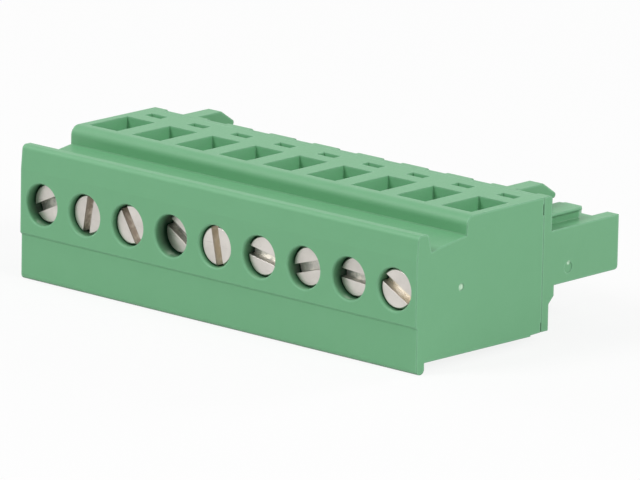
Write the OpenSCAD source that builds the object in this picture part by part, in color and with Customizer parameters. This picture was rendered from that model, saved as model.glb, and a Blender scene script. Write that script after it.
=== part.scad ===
// Nine-pole pluggable screw terminal block, 5.08 mm pitch.
// The screws face the front, the wires go in at the top and the plug points to the rear.
// Working frame of every module: X runs along the row with 0 at its middle, Y runs back from
// the face of the front plate, Z is height above the screw axes. placed() moves that frame to
// the part's own one, whose origin is the middle of the underside of the bounding box.

/* [Row] */
// Number of poles
poles = 9; // [2:1:12]
// Distance between neighbouring poles
pitch = 5.08; // [5:0.01:5.6]
// How much shorter the row is than its poles times the pitch
end_trim = 0.1; // [0:0.02:0.3]

/* [Front housing] */
// Height of the flat top above the screw axes
top_h = 5.63; // [5.5:0.01:6.5]
// Depth of the underside below the screw axes, at the front
floor_drop = 6.02; // [5.8:0.01:7]
// Extra depth that the underside gains towards the rear
floor_draft = 0.14; // [0:0.02:0.4]
// How far the front plate hangs below the underside
lip_drop = 0.94; // [0.5:0.02:2]
// Thickness of the front plate's hanging lip
lip_t = 0.96; // [0.7:0.02:1.3]
// Height of the front plate's top edge above the screw axes
plate_top_h = 4.93; // [4.4:0.01:5.2]
// Thickness of the front plate at its top edge
plate_t = 1.3; // [1:0.05:1.6]
// How far the plate's upper panel stands proud of its lower one
panel_step = 0.18; // [0.05:0.01:0.3]
// Depth of the panel step below the screw axes
panel_step_drop = 3; // [2.4:0.05:4]
// Lean of the plate's top edge towards the rear
plate_lean = 0.14; // [0:0.02:0.3]
// Distance from the front to the upright wall of the upper block
block_y = 6.18; // [5.6:0.02:6.6]
// Height of the ledge at the foot of that wall
ledge_h = 4; // [3.7:0.02:4.3]
// Height of the ledge's groove behind the front plate
groove_h = 3.3; // [3.1:0.02:3.6]
// Rounding of the upper block's front top edge
block_r = 0.85; // [0.3:0.05:1]
// Distance from the front to the joint with the plug moulding
joint_y = 15.95; // [15.4:0.05:16.6]

/* [Screw] */
// Radius of the screw head
head_r = 1.72; // [1.6:0.01:1.8]
// Thickness of the screw head
head_t = 1.4; // [1.1:0.05:1.6]
// Width of the driver slot
slot_w = 0.78; // [0.5:0.02:1]
// Depth of the driver slot
slot_d = 0.8; // [0.4:0.05:1]
// Radius of the threaded shank
shank_r = 1.42; // [1.2:0.01:1.45]
// Whole length of the screw
screw_l = 5.9; // [5.6:0.05:6]
// How deep each head sits behind the front plate
head_depths = [0.95, 0.55, 0.5, 1.3, 0.35, 0.6, 0.7, 0.9, 0.35];
// Direction of each driver slot, in degrees up from the row
slot_angles = [25, 81, 122, 149, 102, 170, 17, 176, 152];

/* [Clamp] */
// Inside width of the clamp cage
cage_in_w = 2.92; // [2.9:0.01:3.05]
// Thickness of the cage's bent strip
cage_t = 0.42; // [0.35:0.01:0.48]
// Thickness of the cage's threaded front wall
cage_front_t = 1.6; // [1.2:0.05:1.8]
// Thickness of the cage's rear wall
cage_rear_t = 0.8; // [0.5:0.05:0.9]
// Height of the cage
cage_h = 4.4; // [3.8:0.05:4.6]
// Space for the wire, between the clamp bar and the open cage
wire_gap = 3.3; // [2.8:0.05:3.4]
// Distance from the front to the front of the clamp bar
bar_y = 7.3; // [7.25:0.01:7.5]
// Thickness of the clamp bar
bar_t = 0.9; // [0.6:0.05:1]
// Width of the clamp bar
bar_w = 2.5; // [2:0.05:2.6]

/* [Wire entry] */
// Width of the wire opening
entry_w = 3.34; // [2.6:0.02:3.7]
// Front edge of the wire opening, from the front
entry_y = 7.57; // [7.4:0.01:7.8]
// Length of the wire opening from front to rear
entry_l = 4.79; // [4.2:0.01:5]
// Width of the latch window behind the wire opening
window_w = 1.95; // [1.2:0.05:2.2]
// Front edge of the latch window, from the front
window_y = 13.75; // [13.5:0.05:13.9]
// Length of the latch window from front to rear
window_l = 0.98; // [0.7:0.02:1.2]

/* [Plug moulding] */
// Thickness of the flange, joint gap left out
flange_t = 1.04; // [0.9:0.02:1.3]
// Distance from the front to the end of the plug
plug_end_y = 25.74; // [24.5:0.02:27]
// Height of the tongue's top above the screw axes
tongue_top_h = 2.57; // [2.3:0.01:2.8]
// Depth of the tongue's underside below the screw axes
tongue_drop = 2.2; // [2:0.01:2.6]
// Thickness of the tongue's top and bottom walls
tongue_wall = 0.74; // [0.5:0.02:0.9]
// Width of each pin opening
pin_open_w = 2.45; // [2.2:0.05:2.6]
// Length of the open notch above each pin opening
notch_l = 2.02; // [1:0.02:3]
// Width of each coding rib's head
rib_head_w = 2.5; // [1.8:0.05:2.8]
// Width of each coding rib's neck
rib_neck_w = 1.9; // [1:0.05:2.1]
// Height of each coding rib
rib_h = 0.98; // [0.6:0.02:1.2]
// Thickness of each coding rib's head
rib_head_t = 0.24; // [0.15:0.01:0.4]
// Distance from the front to the end of the coding ribs
rib_end_y = 22.34; // [20:0.02:24]
// Depth of the recess in the flange's rear edge at each pole
recess_d = 0.58; // [0.3:0.02:0.8]
// Width of that recess
recess_w = 2.31; // [1.8:0.01:2.6]
// Width of each latch fin
fin_w = 1.5; // [1:0.05:2]
// Distance from the row's end to the middle of the nearest latch fin
fin_inset = 4.25; // [3:0.05:4.6]
// Height of each latch fin
fin_h = 1.47; // [1.2:0.01:1.8]
// Distance from the front to the rear end of each fin's flat top
fin_top_y = 19.87; // [19:0.01:21]
// Distance from the front to the nose of each latch fin
fin_nose_y = 21.5; // [21:0.02:23]

/* [Contact] */
// Thickness of the contact's spring leaves
leaf_t = 0.4; // [0.25:0.01:0.5]
// Width of the spring leaves
leaf_w = 2.1; // [1.6:0.05:2.15]
// Gap between the leaf tips, a little less than the header's pin
leaf_gap = 0.8; // [0.6:0.02:0.95]
// Distance from the front to the tips of the leaves
leaf_tip_y = 24.3; // [23.5:0.05:25]

/* [Fits] */
// Radial clearance of the screw in the cage's thread
thread_gap = 0.06; // [0.03:0.01:0.1]
// Radial clearance of the screw head in its bore
head_gap = 0.1; // [0.05:0.01:0.15]
// Clearance of the cage in its chamber
cage_gap = 0.1; // [0.05:0.01:0.15]
// Clearance between moulding and moulding
mould_gap = 0.08; // [0.03:0.01:0.12]
// Clearance of the contact in the mouldings
contact_gap = 0.1; // [0.05:0.01:0.15]

/* [Hidden] */
$fn = 48;
over = 0.5;                                   // overrun of a cut past the face it opens
green = "mediumseagreen";
row_l = poles * pitch - end_trim;
lip_bottom = floor_drop + lip_drop;
plate_r = 0.42;                               // rounding of the plate's front edges
edge_r = 0.4;                                 // rounding of the plate's rear top edge
groove_y = panel_step + 1.6;                  // foot of the groove behind the plate
floor_step_y = joint_y - 1.35;                // where the underside is relieved for the joint
floor_relief = 0.1;

head_bore_r = head_r + head_gap;
bore_mouth_r = head_bore_r + 0.07;
mouth_d = 0.12;

cage_w = cage_in_w + 2 * cage_t;
cage_rear_in_y = bar_y + bar_t + wire_gap;    // inner face of the rear wall, cage open
cage_rear_y = cage_rear_in_y + cage_rear_t;
bar_front_gap = 0.2;                          // between the threaded wall and the clamp bar
cage_front_y = bar_y - bar_front_gap - cage_front_t;
clamp_travel = 2.4;                           // forward travel of the cage when it clamps
chamber_w = cage_w + 2 * cage_gap;
chamber_h = cage_h + 2 * cage_gap;
chamber_front_y = cage_front_y - clamp_travel - cage_gap;
chamber_rear_y = cage_rear_y + cage_gap;

neck_w = cage_in_w - 0.1;                     // wire passage where it meets the cage
neck_margin = 0.1;
funnel_straight = 1.7;                        // straight depth of the wire opening
funnel_slope = 0.9;                           // depth over which it narrows

leg_t = bar_t;                                // horizontal run of the contact
leg_top = -3.95;
leg_bottom = leg_top - leg_t;
channel_w = bar_w + 2 * contact_gap;
tray_y = chamber_rear_y + 0.6;                // front of the rear cavity
tray_top = 3.7;
tray_w = 3.7;
riser_y = tray_y + 0.3;
riser_t = 0.8;

joint_gap = 0.02;
vent_w = 0.09;                                // short reliefs that the joint shows at each end
vent_d = 0.12;
vents = [[-floor_drop - over, -5.2], [4.1, 5.05]];
mark_d = 0.05;                                // gate and ejector marks in the end faces
gate_r = 0.32;
gate_place = [5.6, -0.3];
ejector_r = 0.5;
ejector_place = [19.26, -0.95];
flange_y = joint_y + joint_gap;
flange_rear_y = flange_y + flange_t;
flange_edge_r = 0.3;
band_y = flange_rear_y + 0.46;                // thick band under the tongue
band_drop = tongue_drop + 0.9;
foot_y = flange_rear_y - 0.18;
foot_drop = band_drop + band_y - foot_y;
flange_drop = floor_drop;
tongue_r = 0.35;
pin_top = tongue_top_h - tongue_wall;
pin_bottom = -tongue_drop + tongue_wall;
pin_z = (pin_top + pin_bottom) / 2;
boss_w = tray_w - 2 * mould_gap;
boss_y = tray_y + mould_gap;
boss_top = tray_top - mould_gap;
lug_h = 1.2;
lug_ramp = 0.45;
fin_nose_r = 0.26;
fin_slope = 34;                               // fall of the fins' sloping end, in degrees
flare_w = 0.42;                               // lead-in at the ends of the walls between poles
flare_l = 0.85;
fin_top_h = top_h - 0.05;
fin_bottom_h = fin_top_h - fin_h;

// X of the pole with this number, 1 at the left end
function pole_x(i) = (i - (poles + 1) / 2) * pitch;
// An entry of a list that starts again when there are more poles than entries
function entry(list, i) = list[(i - 1) % len(list)];

// Moves the working frame to the part's own frame
module placed() {
    translate([0, -plug_end_y / 2, lip_bottom]) children();
}

// Repeats its children at every pole
module at_poles() {
    for (i = [1 : poles]) translate([pole_x(i), 0, 0]) children();
}

// Extrudes a side profile, drawn as [y, z], along the row to a width centred on X = 0
module across(w) {
    translate([-w / 2, 0, 0])
        rotate([90, 0, 90])
            linear_extrude(height = w) children();
}

// A block given by its width and its ranges in Y and Z
module block(w, y0, y1, z0, z1) {
    translate([-w / 2, y0, z0]) cube([w, y1 - y0, z1 - z0]);
}

// Rounds the corner at p, where dir holds the signs of the outward directions
module rounded_at(p, r, dir) {
    difference() {
        children();
        difference() {
            translate([min(p.x, p.x - dir.x * r) - (dir.x < 0 ? over : 0),
                       min(p.y, p.y - dir.y * r) - (dir.y < 0 ? over : 0)])
                square([r + over, r + over]);
            translate([p.x - dir.x * r, p.y - dir.y * r]) circle(r = r);
        }
    }
}

// Side profile of the front housing: hanging lip, stepped plate, groove, ledge and upper block
module housing_profile() {
    rounded_at([panel_step, -lip_bottom], plate_r, [-1, -1])
    rounded_at([panel_step + lip_t, -lip_bottom], plate_r, [1, -1])
    rounded_at([plate_lean, plate_top_h], plate_r, [-1, 1])
    rounded_at([plate_lean + plate_t, plate_top_h], edge_r, [1, 1])
    rounded_at([block_y, top_h], block_r, [-1, 1])
    polygon([
        [panel_step, -lip_bottom],
        [panel_step, -panel_step_drop],
        [0, -panel_step_drop + panel_step],
        [0, top_h / 2],
        [plate_lean, plate_top_h - plate_r],
        [plate_lean, plate_top_h],
        [plate_lean + plate_t, plate_top_h],
        [plate_lean + plate_t, plate_top_h - edge_r],
        [groove_y, groove_h],
        [groove_y + 1.1, groove_h + 0.25],
        [block_y, ledge_h],
        [block_y, top_h],
        [joint_y, top_h],
        [joint_y, -floor_drop],
        [floor_step_y, -floor_drop - floor_draft + floor_relief],
        [floor_step_y, -floor_drop - floor_draft],
        [panel_step + lip_t, -floor_drop],
        [panel_step + lip_t, -lip_bottom]
    ]);
}

// Wire passage: straight at the mouth, then narrowing both ways to the cage's window
module wire_funnel() {
    straight_z = top_h - funnel_straight;
    neck_z = straight_z - funnel_slope;
    neck_y0 = bar_y + bar_t + neck_margin;
    neck_y1 = cage_rear_in_y - neck_margin;
    intersection() {
        across(entry_w)
            polygon([
                [entry_y, top_h + over],
                [entry_y, straight_z],
                [neck_y0, neck_z],
                [neck_y0, 0],
                [neck_y1, 0],
                [neck_y1, neck_z],
                [entry_y + entry_l, straight_z],
                [entry_y + entry_l, top_h + over]
            ]);
        translate([0, entry_y + entry_l, 0])
            rotate([90, 0, 0])
                linear_extrude(height = entry_l)
                    polygon([
                        [-entry_w / 2, top_h + over],
                        [-entry_w / 2, straight_z],
                        [-neck_w / 2, neck_z],
                        [-neck_w / 2, 0],
                        [neck_w / 2, 0],
                        [neck_w / 2, neck_z],
                        [entry_w / 2, straight_z],
                        [entry_w / 2, top_h + over]
                    ]);
    }
}

// Bore for the screw head, with a broken edge at its mouth
module screw_bore() {
    rotate([-90, 0, 0]) {
        translate([0, 0, -over]) cylinder(r = head_bore_r, h = chamber_front_y + 2 * over);
        translate([0, 0, -mouth_d]) cylinder(r1 = bore_mouth_r + mouth_d, r2 = head_bore_r, h = 2 * mouth_d);
    }
}

// Everything that is cut out of the front housing at one pole
module pole_cavity() {
    screw_bore();
    block(chamber_w, chamber_front_y, chamber_rear_y, -chamber_h / 2, chamber_h / 2);
    wire_funnel();
    block(channel_w, bar_y - contact_gap, bar_y + bar_t + contact_gap, leg_bottom - contact_gap, 0);
    block(channel_w, bar_y - contact_gap, joint_y + over, leg_bottom - contact_gap, leg_top + contact_gap);
    block(tray_w, tray_y, joint_y + over, leg_bottom - contact_gap, tray_top);
    block(window_w, window_y, window_y + window_l, tray_top - over, top_h + over);
}

// Shallow round mark in both end faces, at a place given as [y, z]
module end_marks(place, r) {
    for (side = [-1, 1])
        translate([side * row_l / 2, place.x, place.y])
            rotate([0, 90, 0]) cylinder(r = r, h = 2 * mark_d, center = true);
}

module front_housing() {
    color(green)
        placed()
            difference() {
                across(row_l) housing_profile();
                at_poles() pole_cavity();
                end_marks(gate_place, gate_r);
                for (side = [-1, 1], z = vents)
                    translate([side * row_l / 2, 0, 0])
                        block(2 * vent_d, joint_y - vent_w, joint_y + over, z[0], z[1]);
            }
}

// Side profile of the plug moulding: flange, thick band and tongue
module plug_profile() {
    rounded_at([flange_rear_y, top_h], flange_edge_r, [1, 1])
    rounded_at([plug_end_y, -tongue_drop], tongue_r, [1, -1])
    polygon([
        [flange_y, -flange_drop],
        [flange_y, top_h],
        [flange_rear_y, top_h],
        [flange_rear_y, tongue_top_h],
        [plug_end_y, tongue_top_h],
        [plug_end_y, -tongue_drop],
        [band_y, -tongue_drop],
        [band_y, -band_drop],
        [foot_y, -foot_drop],
        [foot_y, -flange_drop]
    ]);
}

// T-shaped coding rib on top of the tongue
module coding_rib() {
    block(rib_neck_w, flange_rear_y - recess_d, rib_end_y, tongue_top_h - over, tongue_top_h + rib_h);
    block(rib_head_w, flange_rear_y - recess_d, rib_end_y, tongue_top_h + rib_h - rib_head_t, tongue_top_h + rib_h);
}

// Latch fin that reaches back over the header's wall
module latch_fin() {
    across(fin_w)
        union() {
            polygon([
                [flange_y, fin_bottom_h],
                [flange_y, fin_top_h],
                [fin_top_y, fin_top_h],
                [fin_nose_y - fin_nose_r * (1 - sin(fin_slope)), fin_bottom_h + fin_nose_r * (1 + cos(fin_slope))],
                [fin_nose_y - fin_nose_r, fin_bottom_h]
            ]);
            translate([fin_nose_y - fin_nose_r, fin_bottom_h + fin_nose_r]) circle(r = fin_nose_r);
        }
}

// Boss that carries one contact inside the front housing, with its latch lug
module contact_boss() {
    block(boss_w, boss_y, flange_y + over, -tongue_drop, boss_top);
    across(window_w - 2 * mould_gap)
        polygon([
            [window_y + mould_gap, boss_top - over],
            [window_y + mould_gap, boss_top + lug_h - lug_ramp],
            [window_y + mould_gap + lug_ramp, boss_top + lug_h],
            [window_y + window_l - mould_gap, boss_top + lug_h],
            [window_y + window_l - mould_gap, boss_top - over]
        ]);
}

// Everything that is cut out of the plug moulding at one pole
module plug_cavity() {
    riser_slot_y = riser_y + riser_t + contact_gap;
    block(pin_open_w, boss_y - over, plug_end_y + over, pin_bottom, pin_top);
    block(pin_open_w, plug_end_y - notch_l, plug_end_y + over, pin_top - over, tongue_top_h + over);
    block(channel_w, boss_y - over, riser_slot_y, -tongue_drop - over, pin_top);
}

// Lead-in taken off both rear corners of one wall between poles, in the pin openings' height
module wall_flare() {
    wall_w = pitch - pin_open_w;
    for (side = [-1, 1])
        translate([0, 0, pin_bottom])
            linear_extrude(height = tongue_top_h - pin_bottom + over)
                polygon([
                    [side * (wall_w / 2 + over), plug_end_y + over],
                    [side * (wall_w / 2 - flare_w), plug_end_y + over],
                    [side * (wall_w / 2 - flare_w), plug_end_y],
                    [side * wall_w / 2, plug_end_y - flare_l],
                    [side * (wall_w / 2 + over), plug_end_y - flare_l]
                ]);
}

module plug_moulding() {
    rib_top = tongue_top_h + rib_h;
    color(green)
        placed()
            difference() {
                union() {
                    difference() {
                        across(row_l) plug_profile();
                        at_poles() block(recess_w, flange_rear_y - recess_d, flange_rear_y + over, rib_top, top_h + over);
                    }
                    at_poles() coding_rib();
                    at_poles() contact_boss();
                    for (side = [-1, 1]) translate([side * (row_l / 2 - fin_inset), 0, 0]) latch_fin();
                }
                at_poles() plug_cavity();
                for (i = [1 : poles - 1]) translate([pole_x(i) + pitch / 2, 0, 0]) wall_flare();
                end_marks(ejector_place, ejector_r);
            }
}

// Slotted clamp screw. Its head stands at its own depth and slot direction
module screw(i) {
    head_edge = 0.12;
    tip_edge = 0.3;
    color("silver")
        placed()
            translate([pole_x(i), entry(head_depths, i), 0])
                rotate([0, -entry(slot_angles, i), 0])
                    difference() {
                        rotate([-90, 0, 0]) {
                            cylinder(r1 = head_r - head_edge, r2 = head_r, h = head_edge);
                            translate([0, 0, head_edge]) cylinder(r = head_r, h = head_t - head_edge);
                            cylinder(r = shank_r, h = screw_l - tip_edge);
                            translate([0, 0, screw_l - tip_edge])
                                cylinder(r1 = shank_r, r2 = shank_r - tip_edge, h = tip_edge);
                        }
                        block(2 * head_r + over, -over, slot_d, -slot_w / 2, slot_w / 2);
                    }
}

// Bent clamp cage. The screw's thread pulls it forward and its rear wall presses the wire
module clamp_cage(i) {
    bend_r = 0.5;
    groove_pitch = 0.8;
    groove_d = 0.12;
    color("gainsboro")
        placed()
            translate([pole_x(i), 0, 0])
                difference() {
                    translate([0, 0, -cage_h / 2])
                        linear_extrude(height = cage_h)
                            rounded_at([-cage_w / 2, cage_rear_y], bend_r, [-1, 1])
                            rounded_at([cage_w / 2, cage_rear_y], bend_r, [1, 1])
                            rounded_at([-cage_w / 2, cage_front_y], bend_r, [-1, -1])
                            rounded_at([cage_w / 2, cage_front_y], bend_r, [1, -1])
                            translate([-cage_w / 2, cage_front_y]) square([cage_w, cage_rear_y - cage_front_y]);
                    block(cage_in_w, cage_front_y + cage_front_t, cage_rear_in_y, -cage_h, cage_h);
                    rotate([-90, 0, 0]) cylinder(r = shank_r + thread_gap, h = bar_y);
                    for (k = [-2 : 2])
                        block(cage_in_w, cage_rear_in_y - over, cage_rear_in_y + groove_d,
                              (k - 0.25) * groove_pitch, (k + 0.25) * groove_pitch);
                }
}

// Side profile of the contact's heavy part: clamp bar, leg under the chamber and riser
module bar_profile() {
    polygon([
        [bar_y, chamber_h / 2 - cage_gap],
        [bar_y + bar_t, chamber_h / 2 - cage_gap],
        [bar_y + bar_t, leg_top],
        [riser_y, leg_top],
        [riser_y, pin_z + leaf_gap],
        [riser_y + riser_t, pin_z + leaf_gap],
        [riser_y + riser_t, leg_bottom],
        [bar_y, leg_bottom]
    ]);
}

// Side profile of one spring leaf above the pin: straight, then in to the pin, then flared
module leaf_profile() {
    root = pin_z + leaf_gap;
    touch = pin_z + leaf_gap / 2;
    straight_y = riser_y + riser_t + 3;
    touch_y = leaf_tip_y - 1;
    flare = 0.35;
    polygon([
        [riser_y, root - leaf_t],
        [straight_y, root - leaf_t],
        [touch_y, touch],
        [leaf_tip_y, touch + flare],
        [leaf_tip_y, touch + flare + leaf_t],
        [touch_y, touch + leaf_t],
        [straight_y, root],
        [riser_y, root]
    ]);
}

// One-piece contact: clamp bar, leg, riser and a fork of two leaves that grips the pin
module contact(i) {
    color("goldenrod")
        placed()
            translate([pole_x(i), 0, 0]) {
                across(bar_w) bar_profile();
                across(leaf_w) leaf_profile();
                translate([0, 0, 2 * pin_z]) mirror([0, 0, 1]) across(leaf_w) leaf_profile();
            }
}

front_housing();
plug_moulding();
for (i = [1 : poles]) screw(i);
for (i = [1 : poles]) clamp_cage(i);
for (i = [1 : poles]) contact(i);
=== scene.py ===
import math

import bmesh
import bpy
from mathutils import Matrix, Vector


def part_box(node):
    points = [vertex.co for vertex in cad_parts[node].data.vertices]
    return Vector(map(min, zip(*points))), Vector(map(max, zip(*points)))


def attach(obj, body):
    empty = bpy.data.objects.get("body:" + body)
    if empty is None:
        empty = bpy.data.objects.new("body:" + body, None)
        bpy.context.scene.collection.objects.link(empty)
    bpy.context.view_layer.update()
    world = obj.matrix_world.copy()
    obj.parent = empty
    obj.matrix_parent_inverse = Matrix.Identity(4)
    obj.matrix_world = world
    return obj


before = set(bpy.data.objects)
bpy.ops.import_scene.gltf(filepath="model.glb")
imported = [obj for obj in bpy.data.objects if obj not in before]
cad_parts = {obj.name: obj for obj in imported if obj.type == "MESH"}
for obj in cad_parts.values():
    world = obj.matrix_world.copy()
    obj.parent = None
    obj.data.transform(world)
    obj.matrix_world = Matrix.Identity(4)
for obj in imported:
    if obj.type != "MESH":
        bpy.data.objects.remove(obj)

# Lengths are in millimetres, apart from those of the floor and the softboxes, and MM turns them into
# the frame's metres. X runs along the row of poles, Y from the screw face to the plug, Z up.
MM = 0.001
WHITE = (1, 1, 1, 1)
POLES = range(1, 1 + sum(name.startswith("screw_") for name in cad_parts))

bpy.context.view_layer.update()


def box_in_mm(name):
    """The two corners of a node, in millimetres."""
    low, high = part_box(name)
    return low / MM, high / MM


housing_low, housing_high = box_in_mm("front_housing")
plug_low, plug_high = box_in_mm("plug_moulding")


# ---------------------------------------------------------------- shader helpers

def feed(tree, socket, value):
    """Gives an input a constant, or links another node's output to it."""
    if isinstance(value, bpy.types.NodeSocket):
        tree.links.new(value, socket)
    else:
        socket.default_value = value


def maths(tree, operation, *values, clamp=False):
    """One Math node over sockets or numbers."""
    node = tree.nodes.new("ShaderNodeMath")
    node.operation = operation
    node.use_clamp = clamp
    for socket, value in zip(node.inputs, values):
        feed(tree, socket, value)
    return node.outputs[0]


def plus(tree, a, b):
    return maths(tree, "ADD", a, b)


def minus(tree, a, b):
    return maths(tree, "SUBTRACT", a, b)


def times(tree, a, b):
    return maths(tree, "MULTIPLY", a, b)


def ramp(tree, value, low, high, a=0.0, b=1.0):
    """Maps low..high of a value to a..b, and holds it there outside."""
    node = tree.nodes.new("ShaderNodeMapRange")
    for label, amount in (("From Min", low), ("From Max", high), ("To Min", a), ("To Max", b)):
        node.inputs[label].default_value = amount
    feed(tree, node.inputs["Value"], value)
    return node.outputs[0]


def mixed(tree, share, a, b):
    """Colour a, turning into colour b by the share."""
    node = tree.nodes.new("ShaderNodeMix")
    node.data_type = "RGBA"
    for socket, value in zip((node.inputs[0], node.inputs[6], node.inputs[7]), (share, a, b)):
        feed(tree, socket, value)
    return node.outputs[2]


def noise(tree, point, scale, detail=3.0, roughness=0.5):
    node = tree.nodes.new("ShaderNodeTexNoise")
    for label, value in (("Vector", point), ("Scale", scale), ("Detail", detail), ("Roughness", roughness)):
        feed(tree, node.inputs[label], value)
    return node.outputs["Fac"]


def split(tree, vector):
    """The X, Y and Z of a vector."""
    node = tree.nodes.new("ShaderNodeSeparateXYZ")
    feed(tree, node.inputs[0], vector)
    return node.outputs


def length(tree, across, upward):
    """Distance from an axis, from the two offsets square to it."""
    squares = plus(tree, times(tree, across, across), times(tree, upward, upward))
    return maths(tree, "SQRT", squares)


def object_point(tree):
    """Place on the piece in millimetres, which goes with the piece when it moves."""
    place = tree.nodes.new("ShaderNodeTexCoord").outputs["Object"]
    scale = tree.nodes.new("ShaderNodeVectorMath")
    scale.operation = "SCALE"
    scale.inputs["Scale"].default_value = 1 / MM
    tree.links.new(place, scale.inputs[0])
    return scale.outputs[0]


def soft_edges(tree, radius):
    """Normal with the tiny rounding that every moulded or tumbled edge has."""
    node = tree.nodes.new("ShaderNodeBevel")
    node.samples = 6
    node.inputs["Radius"].default_value = radius * MM
    return node.outputs[0]


BUMP_STRENGTH = 0.5


def bump(tree, height, distance, normal):
    """Normal that follows a height, over an already softened normal."""
    node = tree.nodes.new("ShaderNodeBump")
    node.inputs["Distance"].default_value = distance * MM
    node.inputs["Strength"].default_value = BUMP_STRENGTH
    feed(tree, node.inputs["Height"], height)
    feed(tree, node.inputs["Normal"], normal)
    return node.outputs[0]


# ---------------------------------------------------------------- shared effects

def new_group(name, inputs, outputs):
    """A node group with its input and output sockets; an input of None is a vector."""
    group = bpy.data.node_groups.new(name, "ShaderNodeTree")
    for label, value in inputs.items():
        kind = "NodeSocketVector" if value is None else "NodeSocketFloat"
        socket = group.interface.new_socket(name=label, in_out="INPUT", socket_type=kind)
        if value is not None:
            socket.default_value = value
    for label in outputs:
        group.interface.new_socket(name=label, in_out="OUTPUT", socket_type="NodeSocketFloat")
    given = group.nodes.new("NodeGroupInput").outputs
    result = group.nodes.new("NodeGroupOutput").inputs
    return group, given, result


def effect(material, group, **values):
    """Places a shared effect in a material and sets its inputs."""
    tree = material.node_tree
    node = tree.nodes.new("ShaderNodeGroup")
    node.node_tree = group
    for name, value in values.items():
        feed(tree, node.inputs[name.replace("_", " ")], value)
    return node.outputs


def moulded_skin_group():
    """Fine spark-eroded skin of a moulded face: soft clouds, tiny pits and a fine height."""
    inputs = {"Point": None, "Pit Size": 9.0}
    group, given, result = new_group("moulded_skin", inputs, ("Cloud", "Grain", "Height"))
    cloud = noise(group, given["Point"], scale=0.35, detail=4.0, roughness=0.6)
    fine = noise(group, given["Point"], scale=given["Pit Size"], detail=4.0)
    broad = noise(group, given["Point"], scale=1.6, detail=2.0)
    height = plus(group, times(group, fine, 0.35), times(group, broad, 0.65))
    for label, value in (("Cloud", cloud), ("Grain", fine), ("Height", height)):
        group.links.new(value, result[label])
    return group


def handling_marks_group():
    """Thin random rub lines, a few tenths of a millimetre wide, that handling leaves."""
    group, given, result = new_group("handling_marks", {"Point": None, "Density": 0.5}, ("Mask",))
    stretch = group.nodes.new("ShaderNodeMapping")
    stretch.inputs["Rotation"].default_value = (0.3, 0.5, 0.4)
    stretch.inputs["Scale"].default_value = (0.25, 2.6, 2.6)
    group.links.new(given["Point"], stretch.inputs["Vector"])
    lines = noise(group, stretch.outputs[0], scale=1.7, detail=6.0, roughness=0.62)
    group.links.new(times(group, ramp(group, lines, 0.6, 0.72), given["Density"]), result["Mask"])
    return group


def relief_group():
    """Masks for painted highlights on sharp outer edges and for painted shade in narrow gaps and concave
    corners.
    """
    inputs = {"Edge Reach": 0.2 * MM, "Gap Reach": 0.5 * MM}
    group, given, result = new_group("relief", inputs, ("Edge", "Gap"))
    for name, inward, clear, full in (("Edge", True, 0.97, 0.7), ("Gap", False, 0.4, 0.08)):
        node = group.nodes.new("ShaderNodeAmbientOcclusion")
        node.inside = inward
        node.samples = 6
        group.links.new(given[f"{name} Reach"], node.inputs["Distance"])
        group.links.new(ramp(group, node.outputs["AO"], clear, full), result[name])
    return group


SHADE_START = 0.05
SHADE_FULL = 1.2


def bore_shade_group():
    """Mask for painted shade in the row of screwdriver bores: how deep a point lies, 0 at the mouth and 1
    when far in.
    """
    inputs = {"Point": None, "First X": 0.0, "Pitch": 5.0, "Axis Z": 0.0, "Mouth Y": 0.0}
    inputs.update({"Radius": 2.0, "Length": 6.0})
    group, given, result = new_group("bore_shade", inputs, ("Mask",))
    place = split(group, given["Point"])
    turns = maths(group, "DIVIDE", minus(group, place["X"], given["First X"]), given["Pitch"])
    across = times(group, minus(group, turns, maths(group, "ROUND", turns)), given["Pitch"])
    upward = minus(group, place["Z"], given["Axis Z"])
    depth = minus(group, place["Y"], given["Mouth Y"])
    inside = maths(group, "LESS_THAN", length(group, across, upward), given["Radius"])
    inside = times(group, inside, maths(group, "LESS_THAN", depth, given["Length"]))
    group.links.new(times(group, inside, ramp(group, depth, SHADE_START, SHADE_FULL)), result["Mask"])
    return group


def within_box_group():
    """1 where a point lies between two corners, else 0."""
    group, given, result = new_group("within_box", {"Point": None, "Low": None, "High": None}, ("Mask",))
    point, low, high = (split(group, given[label]) for label in ("Point", "Low", "High"))
    mask = 1.0
    for axis in "XYZ":
        mask = times(group, mask, maths(group, "GREATER_THAN", point[axis], low[axis]))
        mask = times(group, mask, maths(group, "LESS_THAN", point[axis], high[axis]))
    group.links.new(mask, result["Mask"])
    return group


def rubbed_spot_group():
    """Small pale spot round a centre, broken up by noise, as where a gate is snapped off."""
    group, given, result = new_group("rubbed_spot", {"Point": None, "Centre": None, "Radius": 0.3}, ("Mask",))
    apart = group.nodes.new("ShaderNodeVectorMath")
    apart.operation = "DISTANCE"
    group.links.new(given["Point"], apart.inputs[0])
    group.links.new(given["Centre"], apart.inputs[1])
    near = ramp(group, maths(group, "DIVIDE", apart.outputs["Value"], given["Radius"]), 1.0, 0.5)
    broken = ramp(group, noise(group, given["Point"], scale=5.0), 0.3, 0.55, 0.35, 1.0)
    group.links.new(times(group, near, broken), result["Mask"])
    return group


def slot_shade_group():
    """How far a point lies behind a screw's face, from 0 on the face to 1 inside the slot."""
    group, given, result = new_group("slot_shade", {"Point": None, "Face Y": 0.0, "Depth": 0.25}, ("Mask",))
    behind = minus(group, split(group, given["Point"])["Y"], given["Face Y"])
    group.links.new(maths(group, "DIVIDE", behind, given["Depth"], clamp=True), result["Mask"])
    return group


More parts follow.
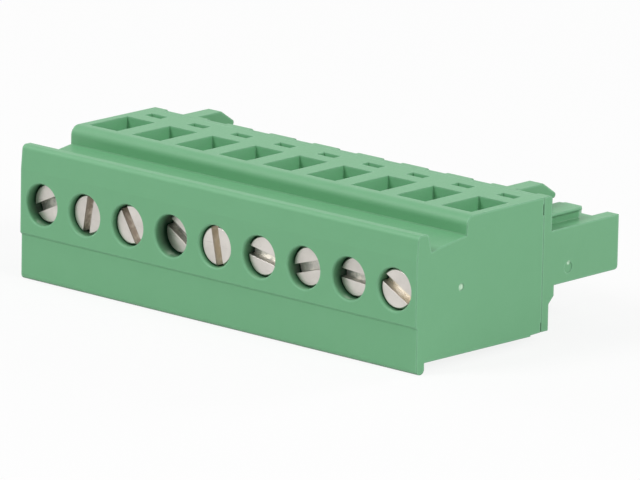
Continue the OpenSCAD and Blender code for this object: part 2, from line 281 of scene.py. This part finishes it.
def turned_face_group():
    """Fine concentric tool marks round a screw's own axis."""
    inputs = {"Point": None, "Axis X": 0.0, "Axis Z": 0.0}
    group, given, result = new_group("turned_face", inputs, ("Rings",))
    place = split(group, given["Point"])
    across = minus(group, place["X"], given["Axis X"])
    upward = minus(group, place["Z"], given["Axis Z"])
    rings_per_radian = 38.0
    wobble = times(group, noise(group, given["Point"], scale=1.3, detail=2.0), 9.0)
    phase = plus(group, times(group, length(group, across, upward), rings_per_radian), wobble)
    group.links.new(ramp(group, maths(group, "SINE", phase), -1.0, 1.0), result["Rings"])
    return group


moulded_skin = moulded_skin_group()
handling_marks = handling_marks_group()
relief = relief_group()
bore_shade = bore_shade_group()
within_box = within_box_group()
rubbed_spot = rubbed_spot_group()
slot_shade = slot_shade_group()
turned_face = turned_face_group()


# ---------------------------------------------------------------- green polyamide

# Wire entries and latch windows: all faces in this box, just under the top, get painted light, a lighter
# green that stands in for the light inside them.
END_WALL = 0.5
ENTRY_START = 7.42
WINDOW_END = 15.47
ENTRY_DEPTH = 4.0
TOP_SKIN = 0.06
ENTRIES = {
    "Low": (housing_low.x + END_WALL, housing_low.y + ENTRY_START, housing_high.z - ENTRY_DEPTH),
    "High": (housing_high.x - END_WALL, housing_low.y + WINDOW_END, housing_high.z - TOP_SKIN),
}

# Screwdriver bores that take painted shade, from the first and the last screw.
first_low, first_high = box_in_mm("screw_1")
last_low, last_high = box_in_mm(f"screw_{POLES[-1]}")
BORES = {
    "First_X": (first_low.x + first_high.x) / 2,
    "Pitch": (last_low.x - first_low.x) / (len(POLES) - 1),
    "Axis_Z": (first_low.z + first_high.z) / 2,
    "Mouth_Y": housing_low.y,
    "Radius": 1.93,
}

# Pale witness marks on the right end, one on each moulding.
GATE_BACK = 5.6
GATE_HEIGHT = 6.66
EJECTOR_BACK = 19.32
EJECTOR_HEIGHT = 6.4
GATE_MARK = {"Centre": (housing_high.x, housing_low.y + GATE_BACK, GATE_HEIGHT), "Radius": 0.34}
EJECTOR_MARK = {"Centre": (plug_high.x, housing_low.y + EJECTOR_BACK, EJECTOR_HEIGHT), "Radius": 0.24}

# Painted highlight colour for sharp outer edges.
EDGE_HIGHLIGHT_GREEN = (0.25, 0.54, 0.33, 1)
# Painted light colour for the inside of the wire entries.
ENTRY_LIGHT_GREEN = (0.2, 0.5, 0.27, 1)
RUBBED_GREEN = (0.56, 0.78, 0.58, 1)
# Painted shade colour for the screwdriver bores, narrow gaps and concave corners.
PAINTED_SHADE_GREEN = (0.0, 0.03, 0.01, 1)


def new_material(name):
    material = bpy.data.materials.new(name)
    material.use_nodes = True
    tree = material.node_tree
    return material, tree, tree.nodes["Principled BSDF"]


def green_polyamide(name, body, pale, witness_mark):
    """Moulded green polyamide: painted highlights on the edges, painted light in the entries, painted shade
    in the bores and gaps, one witness mark.
    """
    material, tree, shader = new_material(name)
    point = object_point(tree)
    skin = effect(material, moulded_skin, Point=point, Pit_Size=9.0)
    marks = effect(material, handling_marks, Point=point, Density=0.35)["Mask"]
    form = effect(material, relief)
    entries = effect(material, within_box, Point=point, **ENTRIES)["Mask"]
    bores = effect(material, bore_shade, Point=point, **BORES)["Mask"]
    witness = effect(material, rubbed_spot, Point=point, **witness_mark)["Mask"]
    tone = mixed(tree, ramp(tree, skin["Cloud"], 0.3, 0.7, 0.0, 0.35), body, pale)
    for share, colour in (
        (times(tree, marks, 0.5), pale),
        # Painted highlight on sharp outer edges.
        (times(tree, form["Edge"], 0.45), EDGE_HIGHLIGHT_GREEN),
        # Painted light in the wire entries and latch windows.
        (times(tree, entries, 0.9), ENTRY_LIGHT_GREEN),
        # Painted shade, darker deeper into the screwdriver bores.
        (times(tree, bores, 0.95), PAINTED_SHADE_GREEN),
        # Painted shade in narrow gaps and concave corners.
        (form["Gap"], PAINTED_SHADE_GREEN),
        (witness, RUBBED_GREEN),
    ):
        tone = mixed(tree, share, tone, colour)
    rough = plus(tree, ramp(tree, skin["Grain"], 0.3, 0.7, 0.40, 0.50), times(tree, marks, 0.1))
    tree.links.new(tone, shader.inputs["Base Color"])
    tree.links.new(rough, shader.inputs["Roughness"])
    tree.links.new(bump(tree, skin["Height"], 0.03, soft_edges(tree, 0.18)), shader.inputs["Normal"])
    shader.inputs["IOR"].default_value = 1.5
    return material


# ---------------------------------------------------------------- plated metal

# Tone inside the slot, by pole; a pole that is not listed has SLOT_GREY.
SLOT_TONES = {
    2: (0.5, 0.45, 0.39, 1),
    3: (0.62, 0.55, 0.49, 1),
    5: (0.72, 0.65, 0.54, 1),
    7: (0.62, 0.6, 0.56, 1),
    9: (0.66, 0.6, 0.5, 1),
}
SLOT_GREY = (0.5, 0.5, 0.46, 1)
SLOT_BRIGHT = (0.86, 0.82, 0.76, 1)
HEAD_BRIGHT = (0.7, 0.665, 0.62, 1)
HEAD_DULL = (0.58, 0.55, 0.51, 1)
SCRATCH_GREY = (0.36, 0.33, 0.3, 1)
HEAD_FACE_SKIN = 0.06


def plated(name, bright, dull, roughness):
    """Plain plated metal for the cages and contacts, cloudy between a bright and a dull tone."""
    material, tree, shader = new_material(name)
    skin = effect(material, moulded_skin, Point=object_point(tree), Pit_Size=6.0)
    tone = mixed(tree, ramp(tree, skin["Cloud"], 0.35, 0.65), bright, dull)
    rough = ramp(tree, skin["Grain"], 0.3, 0.7, roughness - 0.06, roughness + 0.08)
    tree.links.new(tone, shader.inputs["Base Color"])
    tree.links.new(rough, shader.inputs["Roughness"])
    tree.links.new(bump(tree, skin["Height"], 0.02, soft_edges(tree, 0.07)), shader.inputs["Normal"])
    shader.inputs["Metallic"].default_value = 1.0
    return material


def screw_nickel(pole):
    """Nickel-plated screw with turned face marks and a streaked slot of its own tone."""
    low, high = box_in_mm(f"screw_{pole}")
    material, tree, shader = new_material(f"screw_nickel_{pole}")
    point = object_point(tree)
    axis = {"Axis_X": (low.x + high.x) / 2, "Axis_Z": (low.z + high.z) / 2}
    skin = effect(material, moulded_skin, Point=point, Pit_Size=5.0)
    marks = effect(material, handling_marks, Point=point, Density=0.8)["Mask"]
    slot = effect(material, slot_shade, Point=point, Face_Y=low.y + HEAD_FACE_SKIN, Depth=0.3)["Mask"]
    rings = effect(material, turned_face, Point=point, **axis)["Rings"]
    face = mixed(tree, ramp(tree, skin["Cloud"], 0.35, 0.65), HEAD_BRIGHT, HEAD_DULL)
    face = mixed(tree, times(tree, marks, 0.5), face, SCRATCH_GREY)
    streaks = ramp(tree, noise(tree, point, scale=1.7), 0.42, 0.6, 0.0, 0.8)
    groove = mixed(tree, streaks, SLOT_TONES.get(pole, SLOT_GREY), SLOT_BRIGHT)
    rough = plus(tree, ramp(tree, skin["Grain"], 0.3, 0.7, 0.28, 0.4), times(tree, slot, 0.12))
    height = plus(tree, times(tree, rings, 0.22), times(tree, skin["Height"], 1.2))
    tree.links.new(mixed(tree, slot, face, groove), shader.inputs["Base Color"])
    tree.links.new(rough, shader.inputs["Roughness"])
    tree.links.new(bump(tree, height, 0.01, soft_edges(tree, 0.06)), shader.inputs["Normal"])
    shader.inputs["Metallic"].default_value = 1.0
    return material


# ---------------------------------------------------------------- dressing the frame

def dress(name, material):
    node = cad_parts[name]
    for slot in node.material_slots:
        slot.material = material
    if not node.material_slots:
        node.data.materials.append(material)


housing_green = green_polyamide("housing_green", (0.142, 0.39, 0.196, 1), (0.16, 0.415, 0.216, 1), GATE_MARK)
plug_green = green_polyamide("plug_green", (0.146, 0.39, 0.198, 1), (0.164, 0.415, 0.218, 1), EJECTOR_MARK)
cage_nickel = plated("cage_nickel", (0.55, 0.54, 0.51, 1), (0.42, 0.41, 0.39, 1), 0.36)
contact_tin = plated("contact_tin", (0.66, 0.63, 0.56, 1), (0.5, 0.46, 0.38, 1), 0.3)

dress("front_housing", housing_green)
dress("plug_moulding", plug_green)
for pole in POLES:
    dress(f"screw_{pole}", screw_nickel(pole))
    dress(f"clamp_cage_{pole}", cage_nickel)
    dress(f"contact_{pole}", contact_tin)


# ---------------------------------------------------------------- screw threads

THREAD_LEAD = 0.5
THREAD_ROOT_R = 1.40
THREAD_CREST_R = 1.465
THREAD_ROOT_HALF = 0.2 * THREAD_LEAD
THREAD_CREST_HALF = 0.05 * THREAD_LEAD
THREAD_START = 1.55
THREAD_END = 0.45
STEPS_A_TURN = 28


def thread_rows(shape, low, high):
    """Four-point sections of the ridge, which fades in and out over its first and last turn."""
    axis_x, axis_z = (low.x + high.x) / 2, (low.z + high.z) / 2
    begin, finish = low.y + THREAD_START, high.y - THREAD_END
    count = int((finish - begin) / THREAD_LEAD * STEPS_A_TURN)
    rows = []
    for k in range(count + 1):
        turn = 2 * math.pi * k / STEPS_A_TURN
        fade = min(1.0, k / STEPS_A_TURN, (count - k) / STEPS_A_TURN)
        crest = THREAD_ROOT_R + (THREAD_CREST_R - THREAD_ROOT_R) * fade
        y = begin + THREAD_LEAD * k / STEPS_A_TURN
        section = (
            (-THREAD_ROOT_HALF, THREAD_ROOT_R),
            (-THREAD_CREST_HALF, crest),
            (THREAD_CREST_HALF, crest),
            (THREAD_ROOT_HALF, THREAD_ROOT_R),
        )
        rows.append([
            shape.verts.new(Vector((
                axis_x + radius * math.sin(turn), y + offset, axis_z + radius * math.cos(turn),
            )) * MM)
            for offset, radius in section
        ])
    return rows


def screw_thread(pole):
    """Right-hand ridge wound round the shank, just inside the cage's bore."""
    shape = bmesh.new()
    rows = thread_rows(shape, *box_in_mm(f"screw_{pole}"))
    for a, b in zip(rows, rows[1:]):
        for j, k in ((0, 1), (1, 2), (2, 3), (3, 0)):
            shape.faces.new((a[j], a[k], b[k], b[j]))
    shape.faces.new(rows[0])
    shape.faces.new(reversed(rows[-1]))
    bmesh.ops.recalc_face_normals(shape, faces=shape.faces)
    mesh = bpy.data.meshes.new(f"screw_thread_{pole}")
    shape.to_mesh(mesh)
    shape.free()
    mesh.materials.append(cage_nickel)
    thread = bpy.data.objects.new(f"screw_thread_{pole}", mesh)
    bpy.context.scene.collection.objects.link(thread)
    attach(thread, f"screw_{pole}")


for pole in POLES:
    screw_thread(pole)


# ---------------------------------------------------------------- studio

# The floor's and the softboxes' sizes and places are in metres.
AMBIENT = 0.32
FLOOR_GLOW = 0.86
FLOOR_SIZE = 6.0
SOFTBOX_SIZE = 0.3
SOFTBOX_AIM = Vector((0, 0, 0.006))


def seen_directly(tree):
    """1 for camera, glossy and transmission rays, else 0."""
    rays = tree.nodes.new("ShaderNodeLightPath").outputs
    seen = maths(tree, "MAXIMUM", rays["Is Camera Ray"], rays["Is Transmission Ray"])
    return maths(tree, "MAXIMUM", seen, rays["Is Glossy Ray"])


def studio_floor():
    """Pale floor that shows white and still takes the part's soft shadow."""
    bpy.ops.mesh.primitive_plane_add(size=FLOOR_SIZE, location=(0, 0, 0))
    floor = bpy.context.object
    floor.name = "studio_floor"
    material, tree, shader = new_material("studio_white")
    shader.inputs["Base Color"].default_value = (0.86, 0.86, 0.86, 1)
    shader.inputs["Roughness"].default_value = 0.9
    shader.inputs["Specular IOR Level"].default_value = 0.1
    glow = tree.nodes.new("ShaderNodeEmission")
    glow.inputs["Color"].default_value = WHITE
    blend = tree.nodes.new("ShaderNodeMixShader")
    tree.links.new(times(tree, seen_directly(tree), FLOOR_GLOW), blend.inputs[0])
    tree.links.new(shader.outputs[0], blend.inputs[1])
    tree.links.new(glow.outputs[0], blend.inputs[2])
    tree.links.new(blend.outputs[0], tree.nodes["Material Output"].inputs["Surface"])
    floor.data.materials.append(material)


def studio_world():
    """Even air that shows white and lights the part a good deal less."""
    world = bpy.data.worlds.new("studio_air")
    bpy.context.scene.world = world
    world.use_nodes = True
    tree = world.node_tree
    back = tree.nodes["Background"]
    back.inputs["Color"].default_value = WHITE
    strength = plus(tree, times(tree, seen_directly(tree), 1 - AMBIENT), AMBIENT)
    tree.links.new(strength, back.inputs["Strength"])


def softbox(name, place, watts):
    data = bpy.data.lights.new(name, "AREA")
    data.shape = "RECTANGLE"
    data.size = SOFTBOX_SIZE
    data.size_y = SOFTBOX_SIZE
    data.energy = watts
    lamp = bpy.data.objects.new(name, data)
    lamp.location = place
    lamp.rotation_mode = "QUATERNION"
    lamp.rotation_quaternion = (SOFTBOX_AIM - Vector(place)).to_track_quat("-Z", "Y")
    bpy.context.scene.collection.objects.link(lamp)


studio_floor()
studio_world()
softbox("front_softbox", (-0.27, -0.54, 0.58), 3.35)
softbox("right_softbox", (0.71, -0.04, 0.5), 3.15)
softbox("rear_softbox", (0.15, 0.75, 0.3), 1.6)
softbox("left_softbox", (-0.75, 0.05, 0.3), 1.2)


# ---------------------------------------------------------------- camera

CAMERA_AZIMUTH = math.radians(41.994)
CAMERA_ELEVATION = math.radians(13.816)
CAMERA_ROLL = math.radians(1.122)
CAMERA_DISTANCE = 668.986
CAMERA_RIGHT = 8.917
CAMERA_UP = 0.556
CAMERA_AIM_HEIGHT = 6.96
CAMERA_LENS = 446.318
CAMERA_SENSOR = 36.0
CLIP_START = 10.0
CLIP_END = 20000.0


def studio_camera():
    """Long lens from the front right, a little above the part, with a slight roll."""
    flat = Vector((math.sin(CAMERA_AZIMUTH), -math.cos(CAMERA_AZIMUTH), 0)) * math.cos(CAMERA_ELEVATION)
    back = flat + Vector((0, 0, math.sin(CAMERA_ELEVATION)))
    level = Vector((math.cos(CAMERA_AZIMUTH), math.sin(CAMERA_AZIMUTH), 0))
    upright = back.cross(level)
    right = level * math.cos(CAMERA_ROLL) + upright * math.sin(CAMERA_ROLL)
    up = upright * math.cos(CAMERA_ROLL) - level * math.sin(CAMERA_ROLL)
    aim = Vector((0, housing_low.y, CAMERA_AIM_HEIGHT))
    place = (aim + back * CAMERA_DISTANCE + right * CAMERA_RIGHT + up * CAMERA_UP) * MM
    data = bpy.data.cameras.new("studio_camera")
    data.sensor_width = CAMERA_SENSOR
    data.lens = CAMERA_LENS
    data.clip_start = CLIP_START * MM
    data.clip_end = CLIP_END * MM
    camera = bpy.data.objects.new("studio_camera", data)
    camera.matrix_world = Matrix((
        (right.x, up.x, back.x, place.x),
        (right.y, up.y, back.y, place.y),
        (right.z, up.z, back.z, place.z),
        (0, 0, 0, 1),
    ))
    bpy.context.scene.collection.objects.link(camera)
    bpy.context.scene.camera = camera


studio_camera()
bpy.context.scene.view_settings.view_transform = "Standard"
